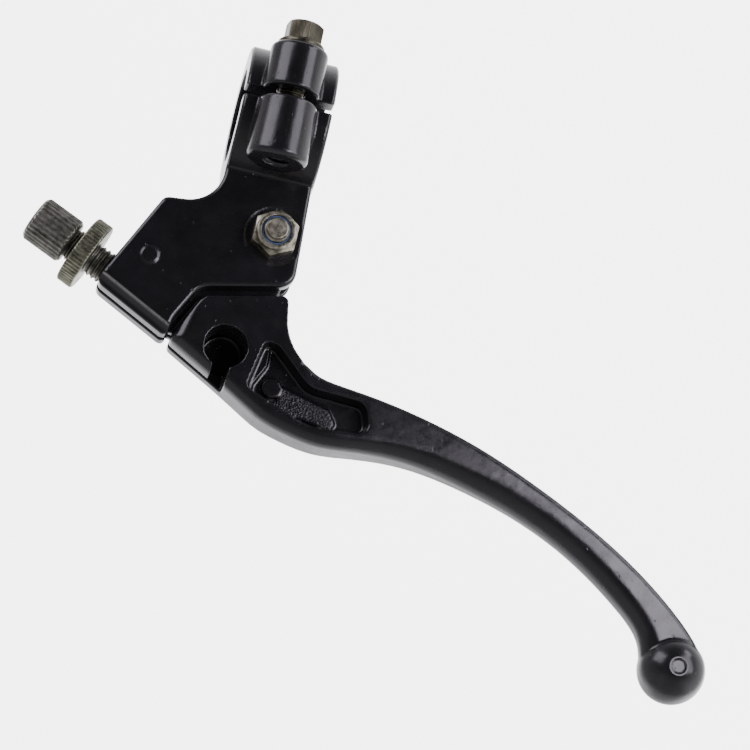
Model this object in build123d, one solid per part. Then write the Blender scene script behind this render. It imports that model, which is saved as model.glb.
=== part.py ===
from build123d import *
from math import acos, cos, hypot, pi, radians, sin, tan
import os

# Clutch lever with its handlebar perch, in millimetres.
# Origin: centre of the handlebar clamp bore. +X runs along the bar towards the lever's ball end,
# +Y towards the clamp cap and its bolt heads, +Z along the lever's pivot towards its nut.

# ---- Driving dimensions ----------------------------------------------------------------------
bar_diameter = 22.2
clamp_width = 21.0
clamp_outer_radius = 16.8
clamp_end_chamfer = 0.6
split_y = 0.4                   # the perch's side of the split
split_gap = 2.4                 # above the bar
closed_gap = 0.2                # below the bar, where the cap is pulled down on the perch
clamp_bolt_z = 16.5
clamp_boss_radius = 6.8
perch_boss_end_radius = 7.3     # the perch's bosses are a little thicker at their front ends
clamp_boss_top_y = 14.0
clamp_boss_bottom_y = -14.2
boss_outer_round = 1.4
boss_split_round = 0.6

half_thickness = 7.5            # perch plate and lever root, either side of the cable's plane
pivot_x = 3.8
pivot_y = -28.8
fork_half_gap = 3.65
tongue_half = 3.5
tongue_radius = 6.2
fork_clearance = 0.7
tongue_left_angle = 148         # where the tongue's two sides leave its eye
tongue_right_angle = 18
spot_face_radius = 7.0
spot_face_depth = 0.2

perch_edge_round = 0.9
wall_round = 2.4                # the two long edges of the wall below the cable
mark_radius = 1.9               # the round moulding mark that stands on the perch's top
mark_height = 0.35
mark_x = -23.2
mark_y = -40.0

nipple_x = -1.6
nipple_y = -56.9
nipple_radius = 5.0
nipple_floor_z = -4.2
cable_slot = 2.0                # height of the cable's slots in the perch and the lever
front_slot_width = 3.9
front_slot_length = 16.0

adjuster_angle = 156.4          # the cable's direction out of the perch, from +X
face_distance = 32.6            # from the nipple hole's axis to the perch's adjuster face
face_low_distance = 33.1        # the same at the face's lower corner
face_below_axis = 5.1
stem_radius = 4.0
stem_in_perch = 11.0
stem_bore_depth = 14.0
locknut_start = 4.6             # from the perch's face at the adjuster's axis
locknut_thickness = 4.1
locknut_radius = 8.6
locknut_teeth = 60
knob_start = 10.6
knob_length = 10.3
knob_radius = 5.65
knob_teeth = 30
cable_bore_radius = 1.5
casing_seat_radius = 3.1
casing_seat_depth = 6.0

bolt_radius = 3.0               # M6 for the pivot and for both clamp bolts
bolt_pitch = 1.0
running_clearance = 0.05
bolt_hole_clearance = 0.3
pivot_hole_clearance = 0.1
insert_clearance = 0.05
bush_radius = 4.0
pivot_head_height = 4.0
pivot_bolt_tip_z = 14.6
pivot_hexagon = 10.0            # across flats
nut_hex_height = 4.6
nut_collar_height = 1.2
nut_collar_radius = 4.7
nut_lip_width = 1.2
insert_depth_below_lip = 0.4
clamp_bolt_length = 25.0
clamp_bolt_plain = 11.0
clamp_hexagon = 8.0
clamp_head_height = 5.0
clamp_flange_radius = 5.5
clamp_flange_height = 1.3
adjuster_pitch = 1.25
thread_depth_ratio = 0.54

ball_x = 115.5
ball_y = -106.1
ball_radius = 8.0
ball_mark_radius = 2.0
ball_mark_depth = 0.5
front_round = 3.3               # at the root
rear_round = 1.1

pocket_depth = 4.5
pocket_taper = 8
ledge_height = 1.5
panel_height = 0.8
button_height = 1.0
button_radius = 2.3

far = 40.0                      # longer than anything that is cut through

# The blade from its root to the ball: rear edge, front edge, half thickness, front rounding.
blade_stations = [
    ((16.6, -56.2), (8.5, -71.0), 7.5, 3.3),
    ((20.4, -58.4), (15.6, -73.3), 7.5, 3.3),
    ((25.1, -59.5), (23.3, -74.5), 7.5, 3.4),
    ((32.0, -60.2), (31.5, -73.9), 7.3, 3.5),
    ((40.9, -61.4), (41.0, -73.2), 6.9, 3.9),
    ((58.7, -65.5), (56.5, -75.0), 6.2, 4.6),
    ((74.9, -71.4), (71.6, -79.1), 5.6, 4.8),
    ((93.3, -80.1), (89.0, -87.1), 5.1, 4.7),
    ((105.4, -87.5), (100.0, -94.7), 4.8, 4.5),
    ((113.8, -94.0), (105.3, -99.6), 4.6, 4.3),
    ((121.1, -102.3), (107.9, -107.0), 4.6, 4.3),
]

# ---- Small geometry helpers ------------------------------------------------------------------
along_cable = Vector(cos(radians(adjuster_angle)), sin(radians(adjuster_angle)), 0)
across_cable = Vector(along_cable.Y, -along_cable.X, 0)
nipple = Vector(nipple_x, nipple_y, 0)
pivot = Vector(pivot_x, pivot_y, 0)
face_centre = nipple + along_cable * face_distance
face_low = nipple + along_cable * face_low_distance - across_cable * face_below_axis


def rounded_face(corners):
    """A flat face whose outline has (x, y, radius) corners, each rounded by its own radius."""
    edges = []
    last_end = None
    first_start = None
    for index, (x, y, radius) in enumerate(corners):
        here = Vector(x, y, 0)
        before = corners[index - 1]
        after = corners[(index + 1) % len(corners)]
        to_before = (Vector(before[0], before[1], 0) - here).normalized()
        to_after = (Vector(after[0], after[1], 0) - here).normalized()
        half_angle = acos(to_before.dot(to_after)) / 2
        start = here + to_before * (radius / tan(half_angle))
        end = here + to_after * (radius / tan(half_angle))
        if last_end is not None:
            edges.append(Line(last_end, start))
        else:
            first_start = start
        if radius > 0:
            inward = (to_before + to_after).normalized()
            middle = here + inward * (radius / sin(half_angle) - radius)
            edges.append(ThreePointArc(start, middle, end))
        last_end = end
    edges.append(Line(last_end, first_start))
    return make_face(Curve() + edges)


def slab(face, low_z, high_z):
    """A flat face in the XY plane made solid between two heights."""
    return extrude(Pos(0, 0, low_z) * face, high_z - low_z)


def rod(start, direction, radius, length):
    """A cylinder that starts at a point and runs along a direction."""
    return extrude(Plane(origin=start, z_dir=direction) * Circle(radius), length)


def tapered_rod(start, direction, start_radius, end_radius, length):
    """A rod whose radius changes evenly from its start to its end."""
    profile = [(0, 0, 0), (start_radius, 0, 0), (end_radius, 0, length), (0, 0, length)]
    return Plane(origin=start, z_dir=direction) * revolve(make_face(Polyline(profile, close=True)), Axis.Z)


def threaded_rod(start, direction, radius, length, pitch):
    """A rod with V grooves at the thread's pitch, turned from its half profile."""
    root = radius - thread_depth_ratio * pitch
    turns = int(length / pitch - 0.2)
    profile = [(0, 0), (root, 0)]
    for turn in range(turns):
        base = turn * pitch + 0.1 * pitch
        profile += [(root, base), (radius, base + 0.4 * pitch), (radius, base + 0.5 * pitch)]
    profile += [(root, (turns + 0.1) * pitch), (root, length), (0, length)]
    half = make_face(Polyline([(x, 0, z) for x, z in profile], close=True))
    return Plane(origin=start, z_dir=direction) * revolve(half, Axis.Z)


def knurled_drum(start, direction, radius, length, teeth, depth, bevel):
    """A drum with straight V teeth round it and bevelled ends."""
    points = []
    for tooth in range(2 * teeth):
        reach = radius - depth * (tooth % 2)
        angle = pi * tooth / teeth
        points.append((reach * cos(angle), reach * sin(angle)))
    drum = extrude(make_face(Polyline(points, close=True)), length)
    limit = chamfer(extrude(Circle(radius), length).edges().filter_by(GeomType.CIRCLE), bevel)
    return Plane(origin=start, z_dir=direction) * (drum & limit)


# ---- Perch -----------------------------------------------------------------------------------
def clamp_half(low_y, high_y, boss_low_radius=clamp_boss_radius):
    """The ring and both bolt bosses between two heights along Y."""
    ring = rod(Vector(-clamp_width / 2, 0, 0), Vector(1, 0, 0), clamp_outer_radius, clamp_width)
    ring = chamfer(ring.edges().filter_by(GeomType.CIRCLE), clamp_end_chamfer)
    half = ring & Pos(0, (low_y + high_y) / 2, 0) * Box(far, high_y - low_y, 2 * far)
    boss_low = max(low_y, clamp_boss_bottom_y)
    boss_high = min(high_y, clamp_boss_top_y)
    for side in (-1, 1):
        start = Vector(0, boss_low, side * clamp_bolt_z)
        boss = tapered_rod(start, Vector(0, 1, 0), boss_low_radius, clamp_boss_radius, boss_high - boss_low)
        for high_end in (False, True):
            end = boss.edges().filter_by(GeomType.CIRCLE).sort_by(Axis.Y, reverse=high_end)[0]
            outer = high_end == (low_y >= split_y)
            boss = fillet(end, boss_outer_round if outer else boss_split_round)
        half += boss
    return half


def bar_bore():
    return rod(Vector(-clamp_width, 0, 0), Vector(1, 0, 0), bar_diameter / 2, 2 * clamp_width)


def clamp_bolt_holes(radius):
    """Both clamp bolts' holes, right through the perch and the cap."""
    start = Vector(0, -far / 2, clamp_bolt_z)
    upper = rod(start, Vector(0, 1, 0), radius, far)
    return upper + Pos(0, 0, -2 * clamp_bolt_z) * upper


def clamp_cap():
    """The cap stands clear of the perch above the bar and almost rests on it below."""
    cap = clamp_half(split_y + split_gap, clamp_outer_radius) & Pos(0, 0, far) * Box(far, 2 * far, 2 * far)
    cap += clamp_half(split_y + closed_gap, clamp_outer_radius) & Pos(0, 0, -far) * Box(far, 2 * far, 2 * far)
    return cap - bar_bore() - clamp_bolt_holes(bolt_radius + bolt_hole_clearance)


def perch_plate():
    """The flat part of the perch, from the clamp to the lever and out to the adjuster."""
    wall_end = (-15.4, -57.6)
    outline = [
        (-10.5, -4.0, 0),
        (-10.5, -23.9, 8.5),
        (-22.8, -25.3, 2.2),
        (face_low.X, face_low.Y, 2.0),
        (*wall_end, 1.2),
        (-14.7, -53.2, 5.0),
        (-10.2, -44.5, 5.0),
        (10.9, -39.5, 4.0),
        (9.8, -4.0, 0),
    ]
    plate = slab(rounded_face(outline), -half_thickness, half_thickness)
    rims = [e for e in plate.edges() if abs(abs(e.center().Z) - half_thickness) < 0.01]
    plate = fillet(rims, perch_edge_round)
    for side in (-1, 1):
        plate -= wall_round_cutter(face_low, Vector(*wall_end, 0), side)
    return plate


def wall_round_cutter(start, end, side):
    """What is cut away along the wall below the cable to round one of its long edges."""
    along = (end - start).normalized()
    inward = Vector(-along.Y, along.X, 0)
    overrun = 5
    outside = 3
    origin = start - along * overrun + Vector(0, 0, side * half_thickness)
    plane = Plane(origin=origin, x_dir=inward, z_dir=along * side)
    edges = [
        Line((-outside, outside), (wall_round, outside)),
        Line((wall_round, outside), (wall_round, 0)),
        RadiusArc((wall_round, 0), (0, -wall_round), wall_round),
        Line((0, -wall_round), (-outside, -wall_round)),
        Line((-outside, -wall_round), (-outside, outside)),
    ]
    profile = make_face(Curve() + edges)
    return extrude(plane * profile, side * ((end - start).length + 2 * overrun))


def perch_body():
    body = clamp_half(-clamp_outer_radius, split_y, perch_boss_end_radius) + perch_plate()
    body -= bar_bore()
    body -= clamp_bolt_holes(bolt_radius + running_clearance)
    body -= fork_gap()
    body -= rod(Vector(pivot_x, pivot_y, -far / 2), Vector(0, 0, 1), bolt_radius + pivot_hole_clearance, far)
    for side in (-1, 1):
        start = Vector(pivot_x, pivot_y, side * (half_thickness - spot_face_depth))
        body -= rod(start, Vector(0, 0, side), spot_face_radius, 5)
    body -= perch_cable_slot()
    thread_end = face_centre - along_cable * stem_bore_depth
    body -= rod(thread_end, along_cable, stem_radius + running_clearance, far)
    return body + Pos(mark_x, mark_y, half_thickness) * Cylinder(mark_radius, 2 * mark_height)


def from_pivot(angle, radius):
    """A point at an angle in degrees and a distance from the pivot, as (x, y)."""
    return (pivot_x + radius * cos(radians(angle)), pivot_y + radius * sin(radians(angle)))


def fork_gap():
    """The room for the lever's tongue between the perch's plates, open to the front and the right."""
    radius = tongue_radius + fork_clearance
    corners = [from_pivot(tongue_left_angle, radius), (-13.2, -45.5), (-17.2, -54.6), (-15.6, -56.6),
               (-13.0, -58.0), (16.0, -58.0), (16.0, pivot_y + radius), (pivot_x, pivot_y + radius)]
    gap = slab(make_face(Polyline(corners, close=True)), -fork_half_gap, fork_half_gap)
    return gap + rod(Vector(pivot_x, pivot_y, -fork_half_gap), Vector(0, 0, 1), radius, 2 * fork_half_gap)


def perch_cable_slot():
    """The slot that lets the cable into the perch from the side, up to the adjuster's axis."""
    outer = face_centre + along_cable * 5 + across_cable * (cable_slot / 2)
    inner = nipple + along_cable * 8 + across_cable * (cable_slot / 2)
    reach = across_cable * -14
    corners = [outer, inner, inner + reach, outer + reach]
    face = make_face(Polyline([(p.X, p.Y) for p in corners], close=True))
    return slab(face, -cable_slot / 2, cable_slot / 2)


# ---- Lever -----------------------------------------------------------------------------------
def lever_root():
    """The lever's thick root: shoulder, cable end and the start of the blade, with rounded edges."""
    shoulder_left = (-14.5, -58.2)
    shoulder_inner = (-14.1, -56.4)
    shoulder_top = (-9.0, -46.4)
    shoulder_right = (10.2, -41.9)
    notch_start = (11.2, -48.0)
    wall_end = (-3.2, -64.3)
    rear, front = blade_stations[0][0], blade_stations[0][1]
    edges = [
        Line(shoulder_left, shoulder_inner),
        Line(shoulder_inner, shoulder_top),
        Line(shoulder_top, shoulder_right),
        Line(shoulder_right, notch_start),
        TangentArc(notch_start, rear, tangent=(1.4, -6.0)),
        Line(rear, front),
        Spline([front, wall_end], tangents=[(-0.87, 0.49), (-11.3, 6.1)]),
        Line(wall_end, shoulder_left),
    ]
    root = slab(make_face(Curve() + edges), -half_thickness, half_thickness)
    for corner, radius in ((shoulder_left, 1.2), (shoulder_top, 3.0), (shoulder_right, 1.4)):
        root = fillet(upright_edges(root, corner), radius)
    rims = [e for e in root.edges() if abs(abs(e.center().Z) - half_thickness) < 0.01]
    joint = (Vector(*rear) + Vector(*front)) / 2
    rims = [e for e in rims if hypot(e.center().X - joint.X, e.center().Y - joint.Y) > 1]
    front_rims = [e for e in rims if e.center().Y < -60 and e.center().X < joint.X]
    return fillet(front_rims, front_round)


def upright_edges(solid, corner):
    """The vertical edges of a solid that stand at one plan position."""
    return [e for e in solid.edges().filter_by(Axis.Z)
            if hypot(e.center().X - corner[0], e.center().Y - corner[1]) < 0.1]


def blade_section(rear, front, half, front_radius, shrink=0.0, back=0.0):
    """One cross-section of the blade: flat at the rear, well rounded at the front.

    It can be shrunk all round and moved back towards the root, so that the blade starts inside it.
    """
    across = Vector(*front) - Vector(*rear)
    width = across.length - shrink
    forward = Vector(-across.Y, across.X, 0).normalized()
    origin = Vector(rear[0], rear[1], 0) - forward * back
    plane = Plane(origin=origin, x_dir=across, z_dir=forward * -1)
    height = half - shrink
    corners = [(shrink, -height, rear_round), (width, -height, front_radius),
               (width, height, front_radius), (shrink, height, rear_round)]
    return plane * rounded_face(corners)


def tongue():
    """The thin part of the lever that turns between the perch's plates."""
    corners = [from_pivot(tongue_left_angle, tongue_radius), (-12.3, -46.6), (-16.1, -54.3),
               (-14.9, -56.0), (-7.4, -53.0), (7.6, -46.0),
               from_pivot(tongue_right_angle, tongue_radius)]
    plate = slab(make_face(Polyline(corners, close=True)), -tongue_half, tongue_half)
    eye = rod(Vector(pivot_x, pivot_y, -tongue_half), Vector(0, 0, 1), tongue_radius, 2 * tongue_half)
    return plate + eye


def lever_blade():
    """The root and the blade, which grows out of the root's end face a hair inside its edges."""
    first = blade_stations[0]
    sections = [blade_section(*first, shrink=0.5, back=2.5), blade_section(*first, shrink=0.05)]
    sections += [blade_section(*station) for station in blade_stations[1:]]
    return lever_root() + loft(sections)


def lever():
    body = lever_blade()
    body += Pos(ball_x, ball_y, 0) * Rot(90, 0, 0) * Sphere(ball_radius)
    body += tongue()
    body -= rod(Vector(pivot_x, pivot_y, -far / 2), Vector(0, 0, 1), bush_radius + running_clearance, far)
    body -= nipple_hole()
    body -= lever_cable_slot()
    body -= pocket()
    body += pocket_details()
    return body - Pos(ball_x, ball_y, ball_radius) * Cylinder(ball_mark_radius, 2 * ball_mark_depth)


def nipple_hole():
    """The blind hole for the cable's nipple, and the slot that lets the cable in from the front."""
    deep = rod(Vector(nipple_x, nipple_y, nipple_floor_z), Vector(0, 0, 1), nipple_radius, far)
    half_width = front_slot_width / 2
    front_y = nipple_y - front_slot_length
    corners = [(nipple_x - half_width, nipple_y), (nipple_x + half_width, nipple_y),
               (nipple_x + half_width - 0.8, front_y), (nipple_x - half_width - 0.4, front_y)]
    return deep + slab(make_face(Polyline(corners, close=True)), -cable_slot / 2, far)


def lever_cable_slot():
    """The thin slot round the nipple hole that the cable turns through as the lever is pulled."""
    reach = 26
    corners = [nipple]
    for angle in (150, 175, 210, 245, 268):
        corners.append(nipple + Vector(cos(radians(angle)), sin(radians(angle)), 0) * reach)
    face = make_face(Polyline([(p.X, p.Y) for p in corners], close=True))
    return slab(face, -cable_slot / 2, cable_slot / 2)


def pocket():
    """The weight-saving pocket in the top of the lever's root, with sloping walls."""
    outline = [(4.8, -65.1, 1.8), (7.0, -53.4, 1.8), (10.3, -53.8, 1.8), (19.2, -61.9, 6.0),
               (32.8, -62.4, 3.0), (35.3, -69.7, 2.6), (20.7, -70.9, 9.0)]
    face = Pos(0, 0, half_thickness) * rounded_face(outline)
    return extrude(face, -pocket_depth, taper=pocket_taper) + extrude(face, 2)


def pocket_details():
    """What stands on the pocket's floor: a ledge, a round button and a raised panel."""
    sunk = 0.2
    floor_z = half_thickness - pocket_depth - sunk
    ledge = [(3.9, -66.8, 0), (5.0, -51.8, 0), (8.6, -51.8, 0), (8.8, -58.6, 0.8), (6.5, -63.4, 0.6),
             (6.6, -66.8, 0)]
    panel = [(12.7, -62.3, 0.6), (24.8, -65.2, 1.8), (27.2, -68.4, 1.2), (25.6, -70.1, 0.8), (12.9, -67.8, 0.6)]
    details = slab(rounded_face(ledge), floor_z, floor_z + ledge_height + sunk)
    details += slab(rounded_face(panel), floor_z, floor_z + panel_height + sunk)
    button_base = Vector(10.9, -63.3, floor_z)
    return details + rod(button_base, Vector(0, 0, 1), button_radius, button_height + sunk)


def pivot_bush():
    start = Vector(pivot_x, pivot_y, -tongue_half)
    tube = rod(start, Vector(0, 0, 1), bush_radius, 2 * tongue_half)
    return tube - rod(start, Vector(0, 0, 1), bolt_radius + running_clearance, far)


# ---- Fasteners -------------------------------------------------------------------------------
def pivot_bolt():
    """The M6 bolt up through the fork and the lever, with its head underneath."""
    seat_z = half_thickness - spot_face_depth
    start = Vector(pivot_x, pivot_y, -seat_z)
    head = hexagon_head(start, Vector(0, 0, -1), pivot_hexagon, pivot_head_height, 0.7, 5)
    plain_length = seat_z + fork_half_gap
    shank = rod(start, Vector(0, 0, 1), bolt_radius, plain_length)
    thread_start = start + Vector(0, 0, plain_length)
    thread_length = pivot_bolt_tip_z - thread_start.Z
    thread = threaded_rod(thread_start, Vector(0, 0, 1), bolt_radius, thread_length, bolt_pitch)
    return head + shank + thread


def pivot_nut():
    """The lock nut: a hexagon with a round collar whose lip closes over the nylon ring."""
    start = Vector(pivot_x, pivot_y, half_thickness - spot_face_depth)
    body = hexagon_head(start, Vector(0, 0, 1), pivot_hexagon, nut_hex_height, 1.2, 29)
    collar_start = start + Vector(0, 0, nut_hex_height)
    collar = rod(collar_start, Vector(0, 0, 1), nut_collar_radius, nut_collar_height)
    body += fillet(collar.edges().filter_by(GeomType.CIRCLE).sort_by(Axis.Z)[-1], 0.6)
    ring_radius = nut_collar_radius - nut_lip_width
    body -= rod(collar_start, Vector(0, 0, 1), ring_radius, nut_collar_height + 1)
    return body - rod(start, Vector(0, 0, 1), bolt_radius + running_clearance, far)


def pivot_nut_insert():
    start = Vector(pivot_x, pivot_y, half_thickness - spot_face_depth + nut_hex_height)
    ring_radius = nut_collar_radius - nut_lip_width - insert_clearance
    ring = rod(start, Vector(0, 0, 1), ring_radius, nut_collar_height - insert_depth_below_lip)
    return ring - rod(start, Vector(0, 0, 1), bolt_radius + running_clearance, far)


def hexagon_head(start, direction, across_flats, height, bevel, turn):
    """A hexagonal head or nut whose corners are turned down to a cone at its outer end."""
    corner = across_flats / 2 / cos(pi / 6)
    plane = Plane(origin=start, z_dir=direction)
    prism = extrude(Rot(0, 0, turn) * RegularPolygon(corner, 6), height)
    cone = [(0, 0), (corner, 0), (corner, height - bevel), (corner - 1.6 * bevel, height), (0, height)]
    limit = revolve(make_face(Polyline([(x, 0, z) for x, z in cone], close=True)), Axis.Z)
    return plane * (prism & limit)


def clamp_bolt(side):
    """A flanged M6 bolt through the cap's boss into the perch's boss."""
    up = Vector(0, 1, 0)
    seat = Vector(0, clamp_boss_top_y, side * clamp_bolt_z)
    flange = rod(seat, up, clamp_flange_radius, clamp_flange_height)
    flange = chamfer(flange.edges().filter_by(GeomType.CIRCLE).sort_by(Axis.Y)[-1], 0.5)
    head = hexagon_head(seat + up, up, clamp_hexagon, clamp_head_height, 0.6, 10)
    plain = rod(seat, -up, bolt_radius, clamp_bolt_plain)
    thread_length = clamp_bolt_length - clamp_bolt_plain
    thread = threaded_rod(seat - up * clamp_bolt_plain, -up, bolt_radius, thread_length, bolt_pitch)
    return flange + head + plain + thread


# ---- Cable adjuster --------------------------------------------------------------------------
def cable_adjuster():
    """The knurled knob and its threaded, hollow stem, with a slot along it for the cable."""
    tip = face_centre - along_cable * stem_in_perch
    stem_length = stem_in_perch + knob_start
    stem = threaded_rod(tip, along_cable, stem_radius, stem_length, adjuster_pitch)
    knob_face = face_centre + along_cable * knob_start
    body = stem + knurled_drum(knob_face, along_cable, knob_radius, knob_length, knob_teeth, 0.42, 0.8)
    body -= rod(tip - along_cable, along_cable, cable_bore_radius, far)
    seat = knob_face + along_cable * (knob_length - casing_seat_depth)
    body -= rod(seat, along_cable, casing_seat_radius, far)
    return body - adjuster_slot(tip)


def adjuster_slot(tip):
    """The slot below the axis, as wide as the cable, from end to end of the adjuster and its nut."""
    plane = Plane(origin=tip - along_cable * 2, x_dir=along_cable, z_dir=across_cable)
    return extrude(plane * Pos(far, -far / 2) * Rectangle(2 * far, far), cable_slot / 2, both=True)


def adjuster_locknut():
    start = face_centre + along_cable * locknut_start
    nut = knurled_drum(start, along_cable, locknut_radius, locknut_thickness, locknut_teeth, 0.3, 0.4)
    return nut - rod(start - along_cable, along_cable, stem_radius + running_clearance, far)


def build_all():
    nodes = {
        "perch_body": perch_body(),
        "clamp_cap": clamp_cap(),
        "clamp_bolt_upper": clamp_bolt(1),
        "clamp_bolt_lower": clamp_bolt(-1),
        "pivot_bolt": pivot_bolt(),
        "pivot_nut": pivot_nut(),
        "pivot_nut_insert": pivot_nut_insert(),
        "lever": lever(),
        "pivot_bush": pivot_bush(),
        "cable_adjuster": cable_adjuster(),
        "adjuster_locknut": adjuster_locknut(),
    }
    os.makedirs("parts", exist_ok=True)
    for name, shape in nodes.items():
        export_step(shape, os.path.join("parts", name + ".step"))


build_all()
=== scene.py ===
import math
import bpy
import bmesh
from mathutils import Matrix, Vector


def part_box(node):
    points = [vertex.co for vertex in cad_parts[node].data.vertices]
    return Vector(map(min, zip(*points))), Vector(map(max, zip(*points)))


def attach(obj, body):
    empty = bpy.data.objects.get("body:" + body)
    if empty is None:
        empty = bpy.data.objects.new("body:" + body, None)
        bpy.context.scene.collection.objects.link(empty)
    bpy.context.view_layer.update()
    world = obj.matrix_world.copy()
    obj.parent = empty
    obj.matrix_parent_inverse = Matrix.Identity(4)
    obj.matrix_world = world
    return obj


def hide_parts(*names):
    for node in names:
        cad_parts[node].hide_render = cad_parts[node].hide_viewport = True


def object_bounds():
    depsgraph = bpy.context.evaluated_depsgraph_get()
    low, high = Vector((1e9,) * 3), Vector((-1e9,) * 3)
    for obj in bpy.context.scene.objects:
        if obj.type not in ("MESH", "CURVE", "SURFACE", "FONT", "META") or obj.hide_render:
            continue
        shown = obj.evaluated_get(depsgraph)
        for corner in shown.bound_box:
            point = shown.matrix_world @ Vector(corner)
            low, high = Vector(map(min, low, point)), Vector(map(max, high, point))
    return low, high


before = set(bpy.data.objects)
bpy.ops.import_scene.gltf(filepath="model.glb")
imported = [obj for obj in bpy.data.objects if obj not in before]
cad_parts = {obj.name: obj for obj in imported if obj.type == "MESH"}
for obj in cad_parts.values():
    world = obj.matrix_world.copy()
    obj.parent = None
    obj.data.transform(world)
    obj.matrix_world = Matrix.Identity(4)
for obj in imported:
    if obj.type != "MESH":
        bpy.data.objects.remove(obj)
cad_low, cad_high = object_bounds()

MM = 0.001
IMAGE_WIDTH = 750

# ---- Camera ----------------------------------------------------------------------------------
CAMERA_DISTANCE = 0.750
PIXELS_PER_METRE = 4300.0
CAMERA_RIGHT = Vector((0.9675, 0.1957, 0.16))
CAMERA_BACK = Vector((-0.1087, -0.2494, 0.962))
CAMERA_TARGET = Vector((0.0342, -0.0536, 0.0))
SENSOR_WIDTH = 36.0  # in millimetres, like the lens
CLIP_NEAR = 0.01
CLIP_FAR = 10.0


def make_camera():
    """The camera looks down on the lever's top face, a little from the front and the left."""
    back = CAMERA_BACK.normalized()
    right = (CAMERA_RIGHT - back * CAMERA_RIGHT.dot(back)).normalized()
    up = back.cross(right)
    data = bpy.data.cameras.new("camera")
    data.sensor_width = SENSOR_WIDTH
    data.lens = SENSOR_WIDTH * PIXELS_PER_METRE * CAMERA_DISTANCE / IMAGE_WIDTH
    data.clip_start = CLIP_NEAR
    data.clip_end = CLIP_FAR
    camera = bpy.data.objects.new("camera", data)
    bpy.context.scene.collection.objects.link(camera)
    rotation = Matrix((right, up, back)).transposed()
    place = CAMERA_TARGET + back * CAMERA_DISTANCE
    camera.matrix_world = Matrix.Translation(place) @ rotation.to_4x4()
    bpy.context.scene.camera = camera


# ---- Studio ----------------------------------------------------------------------------------
FLOOR_Z = cad_low.z - 0.10
FLOOR_HALF = 3.0
FLOOR_COLOUR = (0.93, 0.93, 0.93)
FLOOR_ROUGHNESS = 0.9
FLOOR_GLOW = 4.6

SKY_TINT = (0.98, 0.955, 1.0)
SKY_LEAN = 0.37  # how far the sky's dark end leans to the rear
# How bright the sky is from -1, straight down and a little to the front, to 1, the opposite way.
SKY_BY_HEIGHT = ((-1.0, 1.5), (-0.93, 2.2), (-0.83, 4.0), (-0.62, 4.4), (-0.46, 1.8), (-0.1, 1.8), (0.2, 1.3),
                 (0.35, 0.9), (0.55, 0.36), (0.70, 0.18), (0.90, 0.10), (0.97, 0.03))
SKY_PEAK = 4.4
# How much of that is left at each side, from -1 at the left to 1 at the right.
SKY_BY_SIDE = ((-1.0, 0.25), (-0.75, 0.38), (-0.5, 0.9), (0.0, 1.0), (1.0, 1.0))
# How much of that is left from the front, at -1, to the rear, at 1.
SKY_BY_REAR = ((-1.0, 0.30), (-0.8, 0.40), (-0.5, 1.0), (1.0, 1.0))

SOFT_BOX_COLOUR = (0.93, 0.90, 1.0)
# The name, the place, the point that it faces, the width, the height and the glow of each.
SOFT_BOXES = (
    ("left", (-0.60, 0.35, 0.40), (0, 0, 0), 0.50, 0.58, 4.6),
    ("right", (0.575, 0.20, 0.518), (0, 0, 0), 0.71, 0.41, 4.6),
    ("rear", (0.59, 0.63, 0.27), (0, 0, 0), 0.30, 0.25, 4.6),
    ("over_blade", (0.20, -0.05, 0.30), (0.20, -0.05, 0), 0.13, 0.11, 10.0),
)


def soft_box(name, place, target, width, height, glow):
    """A rectangular light of an even brightness that faces a point and isn't seen itself."""
    data = bpy.data.lights.new(name, "AREA")
    data.shape = "RECTANGLE"
    data.size = width
    data.size_y = height
    data.energy = glow * math.pi * width * height
    data.color = SOFT_BOX_COLOUR
    light = bpy.data.objects.new(name, data)
    light.location = place
    light.rotation_euler = (Vector(target) - Vector(place)).to_track_quat("-Z", "Y").to_euler()
    light.visible_camera = False
    bpy.context.scene.collection.objects.link(light)


def make_floor():
    """A white floor well below the lever, lit from within like a light table, and not mirrored in it."""
    mesh = bpy.data.meshes.new("floor")
    corners = [(-FLOOR_HALF, -FLOOR_HALF), (FLOOR_HALF, -FLOOR_HALF),
               (FLOOR_HALF, FLOOR_HALF), (-FLOOR_HALF, FLOOR_HALF)]
    mesh.from_pydata([(x, y, FLOOR_Z) for x, y in corners], [], [(0, 1, 2, 3)])
    floor = bpy.data.objects.new("floor", mesh)
    floor.visible_glossy = False
    bpy.context.scene.collection.objects.link(floor)
    material = bpy.data.materials.new("floor")
    material.use_nodes = True
    shader = material.node_tree.nodes["Principled BSDF"]
    shader.inputs["Base Color"].default_value = (*FLOOR_COLOUR, 1)
    shader.inputs["Roughness"].default_value = FLOOR_ROUGHNESS
    shader.inputs["Emission Color"].default_value = (1, 1, 1, 1)
    shader.inputs["Emission Strength"].default_value = FLOOR_GLOW
    mesh.materials.append(material)


def direction_ramp(tree, component, stops):
    """A ramp over one component of the sky's direction, which runs from -1 to 1."""
    node = tree.nodes.new("ShaderNodeMath")
    node.operation = "MULTIPLY_ADD"
    tree.links.new(component, node.inputs[0])
    node.inputs[1].default_value = 0.5
    node.inputs[2].default_value = 0.5
    return ramp(tree, node.outputs["Value"], [((reach + 1) / 2, level) for reach, level in stops])


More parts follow.
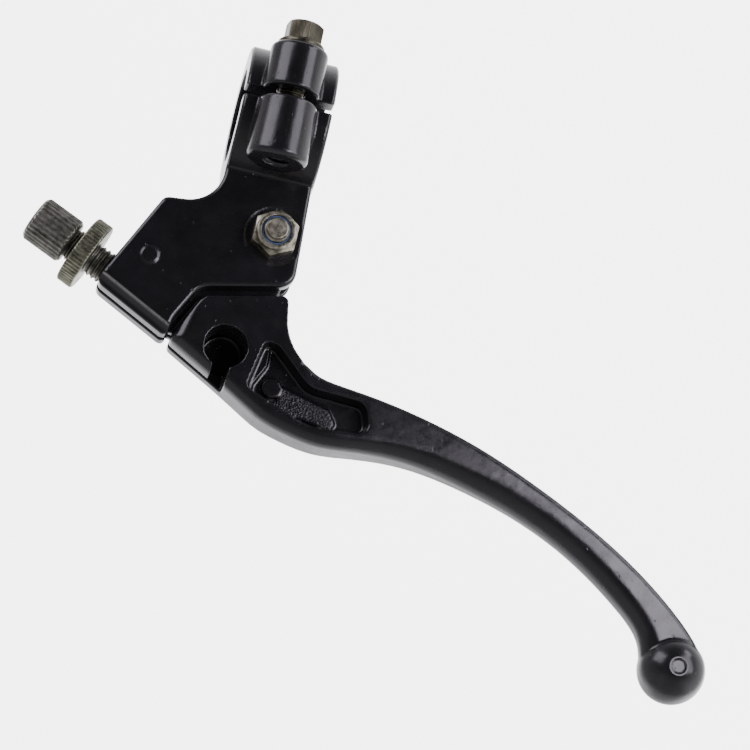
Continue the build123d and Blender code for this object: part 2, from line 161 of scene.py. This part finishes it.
def make_sky():
    """A sky that is brightest low down, darker at the left and the front, and nearly black overhead."""
    world = bpy.data.worlds.new("studio")
    world.use_nodes = True
    tree = world.node_tree
    coords = tree.nodes.new("ShaderNodeTexCoord")
    split = tree.nodes.new("ShaderNodeSeparateXYZ")
    tree.links.new(coords.outputs["Generated"], split.inputs["Vector"])
    height = tree.nodes.new("ShaderNodeVectorMath")
    height.operation = "DOT_PRODUCT"
    tree.links.new(coords.outputs["Generated"], height.inputs[0])
    height.inputs[1].default_value = Vector((0, SKY_LEAN, math.sqrt(1 - SKY_LEAN ** 2)))
    tinted = [(reach, tuple(level / SKY_PEAK * share for share in SKY_TINT))
              for reach, level in SKY_BY_HEIGHT]
    by_height = direction_ramp(tree, height.outputs["Value"], tinted)
    by_side = direction_ramp(tree, split.outputs["X"], SKY_BY_SIDE)
    by_rear = direction_ramp(tree, split.outputs["Y"], SKY_BY_REAR)
    glow = multiplied(tree, multiplied(tree, by_height, by_side), by_rear)
    tree.links.new(glow, tree.nodes["Background"].inputs["Color"])
    tree.nodes["Background"].inputs["Strength"].default_value = SKY_PEAK
    bpy.context.scene.world = world


def make_studio():
    """The glowing floor, the sky and the soft boxes."""
    make_floor()
    make_sky()
    for box in SOFT_BOXES:
        soft_box(*box)


# ---- Materials -------------------------------------------------------------------------------
NOISE_LOW = 0.3  # most of a noise's values lie between these two
NOISE_HIGH = 0.7
FINE_BUMP = 0.8  # the strength of the finer bumps

# The paint. The scales of noises are in features per metre, here and below.
PAINT_DARK = (0.0064, 0.0063, 0.0072)
PAINT_LIGHT = (0.0098, 0.0094, 0.0112)
PAINT_CLOUDS = 90.0
PAINT_LEAST_ROUGH = 0.17
PAINT_MOST_ROUGH = 0.27
PAINT_GLOSS_PATCHES = 260.0
DUST_COLOUR = (0.05, 0.05, 0.055)
DUST_SPECKS = 2300.0
DUST_STOPS = ((0.72, 0.0), (0.80, 0.6))
WAVES = 160.0
WAVE_HEIGHT = 0.08 * MM
GRAIN = 2600.0
GRAIN_HEIGHT = 0.012 * MM
PITS = 700.0
PIT_STOPS = ((0.22, 0.0), (0.28, 1.0))
PIT_DEPTH = 0.05 * MM
STIPPLE = 2300.0
STIPPLE_HEIGHT = 0.16 * MM

# The plated steels. Their roots are the hollows between teeth and threads, which are darkened there as
# painted shade.
STAINS = 480.0
STAIN_DARK_END = 0.34
STAIN_LIGHT_END = 0.66
ROOT_SHADE_DARK_END = 0.44
ROOT_SHADE_LIGHT_END = 0.52
STEEL_GLOSS_PATCHES = 900.0
SCRATCHES = 1700.0
SCRATCH_HEIGHT = 0.05 * MM
# Dark and light colour, least and most roughness, how dark the painted shade in the roots is and the noises'
# stretch.
STEELS = {
    "head_steel": ((0.045, 0.042, 0.030), (0.15, 0.14, 0.105), 0.25, 0.42, 0.75, (1, 0.3, 1)),
    "bolt_steel": ((0.07, 0.07, 0.05), (0.50, 0.47, 0.37), 0.32, 0.52, 0.75, (1, 1, 1)),
    "knob_steel": ((0.12, 0.12, 0.10), (0.33, 0.325, 0.29), 0.30, 0.48, 0.4, (1, 1, 1)),
    "lock_steel": ((0.10, 0.103, 0.072), (0.31, 0.315, 0.235), 0.30, 0.48, 0.4, (1, 1, 1)),
    "bush_steel": ((0.40, 0.40, 0.40), (0.60, 0.60, 0.60), 0.22, 0.35, 0.75, (1, 1, 1)),
}

# The nylon.
NYLON_DARK = (0.035, 0.065, 0.14)
NYLON_LIGHT = (0.09, 0.15, 0.28)
NYLON_ROUGHNESS = 0.4
NYLON_CLOUDS = 600.0
NYLON_GRAIN = 2000.0
NYLON_GRAIN_HEIGHT = 0.02 * MM


def new_material(name):
    """A material with its node tree, its main shader and the object's own coordinates."""
    material = bpy.data.materials.new(name)
    material.use_nodes = True
    nodes = material.node_tree.nodes
    shader = nodes["Principled BSDF"]
    coords = nodes.new("ShaderNodeTexCoord")
    return material, material.node_tree, shader, coords.outputs["Object"]


def noise(tree, coords, scale, detail, roughness=0.55):
    """Noise with its scale in features per metre."""
    node = tree.nodes.new("ShaderNodeTexNoise")
    node.inputs["Scale"].default_value = scale
    node.inputs["Detail"].default_value = detail
    node.inputs["Roughness"].default_value = roughness
    tree.links.new(coords, node.inputs["Vector"])
    return node.outputs["Fac"]


def ramp(tree, source, stops):
    """A colour ramp from (position, grey or colour) stops."""
    node = tree.nodes.new("ShaderNodeValToRGB")
    elements = node.color_ramp.elements
    while len(elements) < len(stops):
        elements.new(0.5)
    for element, (position, colour) in zip(elements, stops):
        if isinstance(colour, float):
            colour = (colour, colour, colour)
        element.position = position
        element.color = (*colour, 1)
    tree.links.new(source, node.inputs["Fac"])
    return node.outputs["Color"]


def spread(tree, source, low, high):
    """A noise turned into greys or colours from low to high."""
    return ramp(tree, source, [(NOISE_LOW, low), (NOISE_HIGH, high)])


def multiplied(tree, first, second):
    """Two colours multiplied."""
    node = tree.nodes.new("ShaderNodeMix")
    node.data_type = "RGBA"
    node.blend_type = "MULTIPLY"
    node.inputs["Factor"].default_value = 1.0
    tree.links.new(first, node.inputs["A"])
    tree.links.new(second, node.inputs["B"])
    return node.outputs["Result"]


def bump(tree, shader, height, distance, strength=1.0, under=None):
    """Adds a bump of the given height in metres, on top of another bump's normal if there is one."""
    node = tree.nodes.new("ShaderNodeBump")
    node.inputs["Distance"].default_value = distance
    node.inputs["Strength"].default_value = strength
    tree.links.new(height, node.inputs["Height"])
    if under is not None:
        tree.links.new(under, node.inputs["Normal"])
    tree.links.new(node.outputs["Normal"], shader.inputs["Normal"])
    return node.outputs["Normal"]


def dusty_colour(tree, coords):
    """The paint's black, a little uneven, with pale specks of dust."""
    colour = spread(tree, noise(tree, coords, PAINT_CLOUDS, detail=4.0), PAINT_DARK, PAINT_LIGHT)
    dust = ramp(tree, noise(tree, coords, DUST_SPECKS, detail=2.0, roughness=0.6), DUST_STOPS)
    mix = tree.nodes.new("ShaderNodeMix")
    mix.data_type = "RGBA"
    tree.links.new(dust, mix.inputs["Factor"])
    tree.links.new(colour, mix.inputs["A"])
    mix.inputs["B"].default_value = (*DUST_COLOUR, 1)
    return mix.outputs["Result"]


def black_paint(name, stippled=False):
    """Semi-gloss black paint over a casting: soft waves, fine grain, dust specks and small pits."""
    material, tree, shader, coords = new_material(name)
    tree.links.new(dusty_colour(tree, coords), shader.inputs["Base Color"])
    patches = noise(tree, coords, PAINT_GLOSS_PATCHES, detail=5.0)
    rough = spread(tree, patches, PAINT_LEAST_ROUGH, PAINT_MOST_ROUGH)
    tree.links.new(rough, shader.inputs["Roughness"])
    waved = bump(tree, shader, noise(tree, coords, WAVES, detail=2.0), WAVE_HEIGHT)
    grain = noise(tree, coords, GRAIN, detail=3.0)
    grained = bump(tree, shader, grain, GRAIN_HEIGHT, FINE_BUMP, waved)
    pits = ramp(tree, noise(tree, coords, PITS, detail=1.0), PIT_STOPS)
    pitted = bump(tree, shader, pits, PIT_DEPTH, FINE_BUMP, grained)
    if stippled:
        bump(tree, shader, noise(tree, coords, STIPPLE, detail=2.0), STIPPLE_HEIGHT, under=pitted)
    return material


def plated_steel(name, dark, light, least_rough, most_rough, root_shade_depth, stretch):
    """Dull zinc plate: uneven colour, darker stains, painted shade in the hollows and a slightly rough,
    finely scratched surface.
    """
    material, tree, shader, coords = new_material(name)
    shader.inputs["Metallic"].default_value = 1.0
    mapping = tree.nodes.new("ShaderNodeMapping")
    mapping.inputs["Scale"].default_value = stretch
    tree.links.new(coords, mapping.inputs["Vector"])
    placed = mapping.outputs["Vector"]
    stains = noise(tree, placed, STAINS, detail=5.0, roughness=0.62)
    colour = ramp(tree, stains, [(STAIN_DARK_END, dark), (STAIN_LIGHT_END, light)])
    # Painted shade: the hollows between teeth and threads, found by their pointiness, are made darker.
    surface = tree.nodes.new("ShaderNodeNewGeometry")
    root_shade_stops = [(ROOT_SHADE_DARK_END, 1 - root_shade_depth), (ROOT_SHADE_LIGHT_END, 1.0)]
    painted_root_shade = ramp(tree, surface.outputs["Pointiness"], root_shade_stops)
    tree.links.new(multiplied(tree, colour, painted_root_shade), shader.inputs["Base Color"])
    patches = noise(tree, placed, STEEL_GLOSS_PATCHES, detail=4.0)
    rough = spread(tree, patches, least_rough, most_rough)
    tree.links.new(rough, shader.inputs["Roughness"])
    bump(tree, shader, noise(tree, placed, SCRATCHES, detail=4.0), SCRATCH_HEIGHT, FINE_BUMP)
    return material


def nylon():
    """The slightly cloudy blue nylon of the nut's ring."""
    material, tree, shader, coords = new_material("nylon")
    colour = spread(tree, noise(tree, coords, NYLON_CLOUDS, detail=3.0), NYLON_DARK, NYLON_LIGHT)
    tree.links.new(colour, shader.inputs["Base Color"])
    shader.inputs["Roughness"].default_value = NYLON_ROUGHNESS
    bump(tree, shader, noise(tree, coords, NYLON_GRAIN, detail=3.0), NYLON_GRAIN_HEIGHT)
    return material


# ---- Pieces ----------------------------------------------------------------------------------
CAST_VOXEL = 0.30 * MM
CAST_ROUNDS = 4
STEEL_VOXEL = 0.15 * MM
STEEL_ROUNDS = 3
SMOOTH_FACTOR = 0.5
MERGE_DISTANCE = 0.001 * MM

# CAD node, piece and body of each casting.
CASTINGS = (("perch_body", "perch_casting", "perch"), ("clamp_cap", "cap_casting", "perch"),
            ("lever", "lever_casting", "lever"))
# CAD node, body and steel of each plated piece.
STEEL_PIECES = (("clamp_bolt_upper", "perch", "head_steel"), ("clamp_bolt_lower", "perch", "head_steel"),
                ("pivot_bolt", "perch", "bolt_steel"), ("pivot_nut", "perch", "bolt_steel"),
                ("cable_adjuster", "adjuster", "knob_steel"), ("adjuster_locknut", "locknut", "lock_steel"))

# The stippled part of the lever's pocket: its box, and how far its rear side falls per metre of X.
PANEL_LOW = (13.3 * MM, -71.0 * MM, 3.4 * MM)
PANEL_HIGH = (27.4 * MM, -61.0 * MM, 4.2 * MM)
PANEL_SLOPE = 0.22
FACING_UP = 0.6  # the least upward part of the normal of a face that is stippled

# The threads just inside the two holes in the perch's clamp bosses.
THREADED_HOLES = (("upper_hole_thread", "clamp_bolt_upper"), ("lower_hole_thread", "clamp_bolt_lower"))
BOSS_END_Y = -14.2 * MM
BOLT_HOLE_RADIUS = 3.05 * MM
THREAD_DEPTH = 0.55 * MM
THREAD_PITCH = 1.0 * MM
THREAD_HALF_WIDTH = 0.45 * THREAD_PITCH
THREAD_STEPS = 48  # in one turn
THREAD_TURNS = 2.2
THREAD_FADE = 4  # the ridge rises over a quarter of its length, and falls over the last quarter
INWARD = Vector((0, 1, 0))


def set_material(obj, material):
    """Gives an object one material in place of those that it has."""
    obj.data.materials.clear()
    obj.data.materials.append(material)


def soft_mesh(mesh, name, voxel, rounds):
    """The same shape as a mesh, with soft edges about three voxels wide."""
    work = bmesh.new()
    work.from_mesh(mesh)
    bmesh.ops.remove_doubles(work, verts=work.verts, dist=MERGE_DISTANCE)
    work.to_mesh(mesh)
    work.free()
    rough = bpy.data.objects.new(name + "_rough", mesh)
    bpy.context.scene.collection.objects.link(rough)
    remesh = rough.modifiers.new("remesh", "REMESH")
    remesh.mode = "VOXEL"
    remesh.voxel_size = voxel
    remesh.use_smooth_shade = True
    smooth = rough.modifiers.new("smooth", "SMOOTH")
    smooth.factor = SMOOTH_FACTOR
    smooth.iterations = rounds
    graph = bpy.context.evaluated_depsgraph_get()
    result = bpy.data.meshes.new_from_object(rough.evaluated_get(graph))
    bpy.data.objects.remove(rough)
    result.name = name
    return result


def soft_copy(node, name, body, material, voxel, rounds):
    """Replaces a CAD node by the same shape with soft edges."""
    mesh = soft_mesh(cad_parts[node].data.copy(), name, voxel, rounds)
    piece = bpy.data.objects.new(name, mesh)
    bpy.context.scene.collection.objects.link(piece)
    set_material(piece, material)
    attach(piece, body)
    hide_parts(node)
    return piece


def stipple_panel(lever):
    """Gives the raised panel in the lever's pocket its coarse cast texture."""
    lever.data.materials.append(black_paint("stippled_paint", stippled=True))
    for face in lever.data.polygons:
        x, y, z = face.center
        in_pocket = PANEL_LOW[2] < z < PANEL_HIGH[2] and face.normal.z > FACING_UP
        beside = PANEL_LOW[0] < x < PANEL_HIGH[0] and PANEL_LOW[1] < y < PANEL_HIGH[1]
        below_slope = y < PANEL_HIGH[1] - PANEL_SLOPE * (x - PANEL_LOW[0])
        if in_pocket and beside and below_slope:
            face.material_index = 1


def thread_mesh(name, mouth):
    """A helical ridge just inside the mouth of a threaded hole."""
    side = INWARD.orthogonal().normalized()
    other = INWARD.cross(side)
    flank = INWARD * THREAD_HALF_WIDTH
    steps = int(THREAD_STEPS * THREAD_TURNS)
    work = bmesh.new()
    rows = []
    for step in range(steps + 1):
        angle = 2 * math.pi * step / THREAD_STEPS
        outward = side * math.cos(angle) + other * math.sin(angle)
        centre = mouth + INWARD * (THREAD_PITCH * (0.5 + step / THREAD_STEPS))
        fade = min(1.0, THREAD_FADE * step / steps, THREAD_FADE * (steps - step) / steps)
        rows.append([work.verts.new(centre + outward * BOLT_HOLE_RADIUS - flank),
                     work.verts.new(centre + outward * (BOLT_HOLE_RADIUS - THREAD_DEPTH * fade)),
                     work.verts.new(centre + outward * BOLT_HOLE_RADIUS + flank)])
    for first, second in zip(rows, rows[1:]):
        for low, high in ((0, 1), (1, 2), (2, 0)):
            work.faces.new((first[low], first[high], second[high], second[low]))
    for end in (rows[0], rows[-1]):
        work.faces.new(end)
    bmesh.ops.recalc_face_normals(work, faces=work.faces)
    mesh = bpy.data.meshes.new(name)
    work.to_mesh(mesh)
    work.free()
    return mesh


def make_hole_thread(name, bolt, material):
    """The thread inside the boss that one of the clamp bolts goes into."""
    low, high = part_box(bolt)
    mouth = Vector(((low[0] + high[0]) / 2, BOSS_END_Y, (low[2] + high[2]) / 2))
    piece = bpy.data.objects.new(name, thread_mesh(name, mouth))
    bpy.context.scene.collection.objects.link(piece)
    set_material(piece, material)
    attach(piece, "perch")


def make_castings():
    """The painted castings, with their soft edges and cast details."""
    paint = black_paint("black_paint")
    castings = {}
    for node, name, body in CASTINGS:
        castings[node] = soft_copy(node, name, body, paint, CAST_VOXEL, CAST_ROUNDS)
    stipple_panel(castings["lever"])
    for name, bolt in THREADED_HOLES:
        make_hole_thread(name, bolt, paint)


def make_metalwork():
    """The bolts, the nut and its nylon ring, the bush, and the adjuster with its lock nut."""
    steels = {name: plated_steel(name, *look) for name, look in STEELS.items()}
    for node, body, steel in STEEL_PIECES:
        soft_copy(node, node + "_plated", body, steels[steel], STEEL_VOXEL, STEEL_ROUNDS)
    set_material(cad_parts["pivot_bush"], steels["bush_steel"])
    set_material(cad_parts["pivot_nut_insert"], nylon())


make_camera()
make_studio()
make_castings()
make_metalwork()
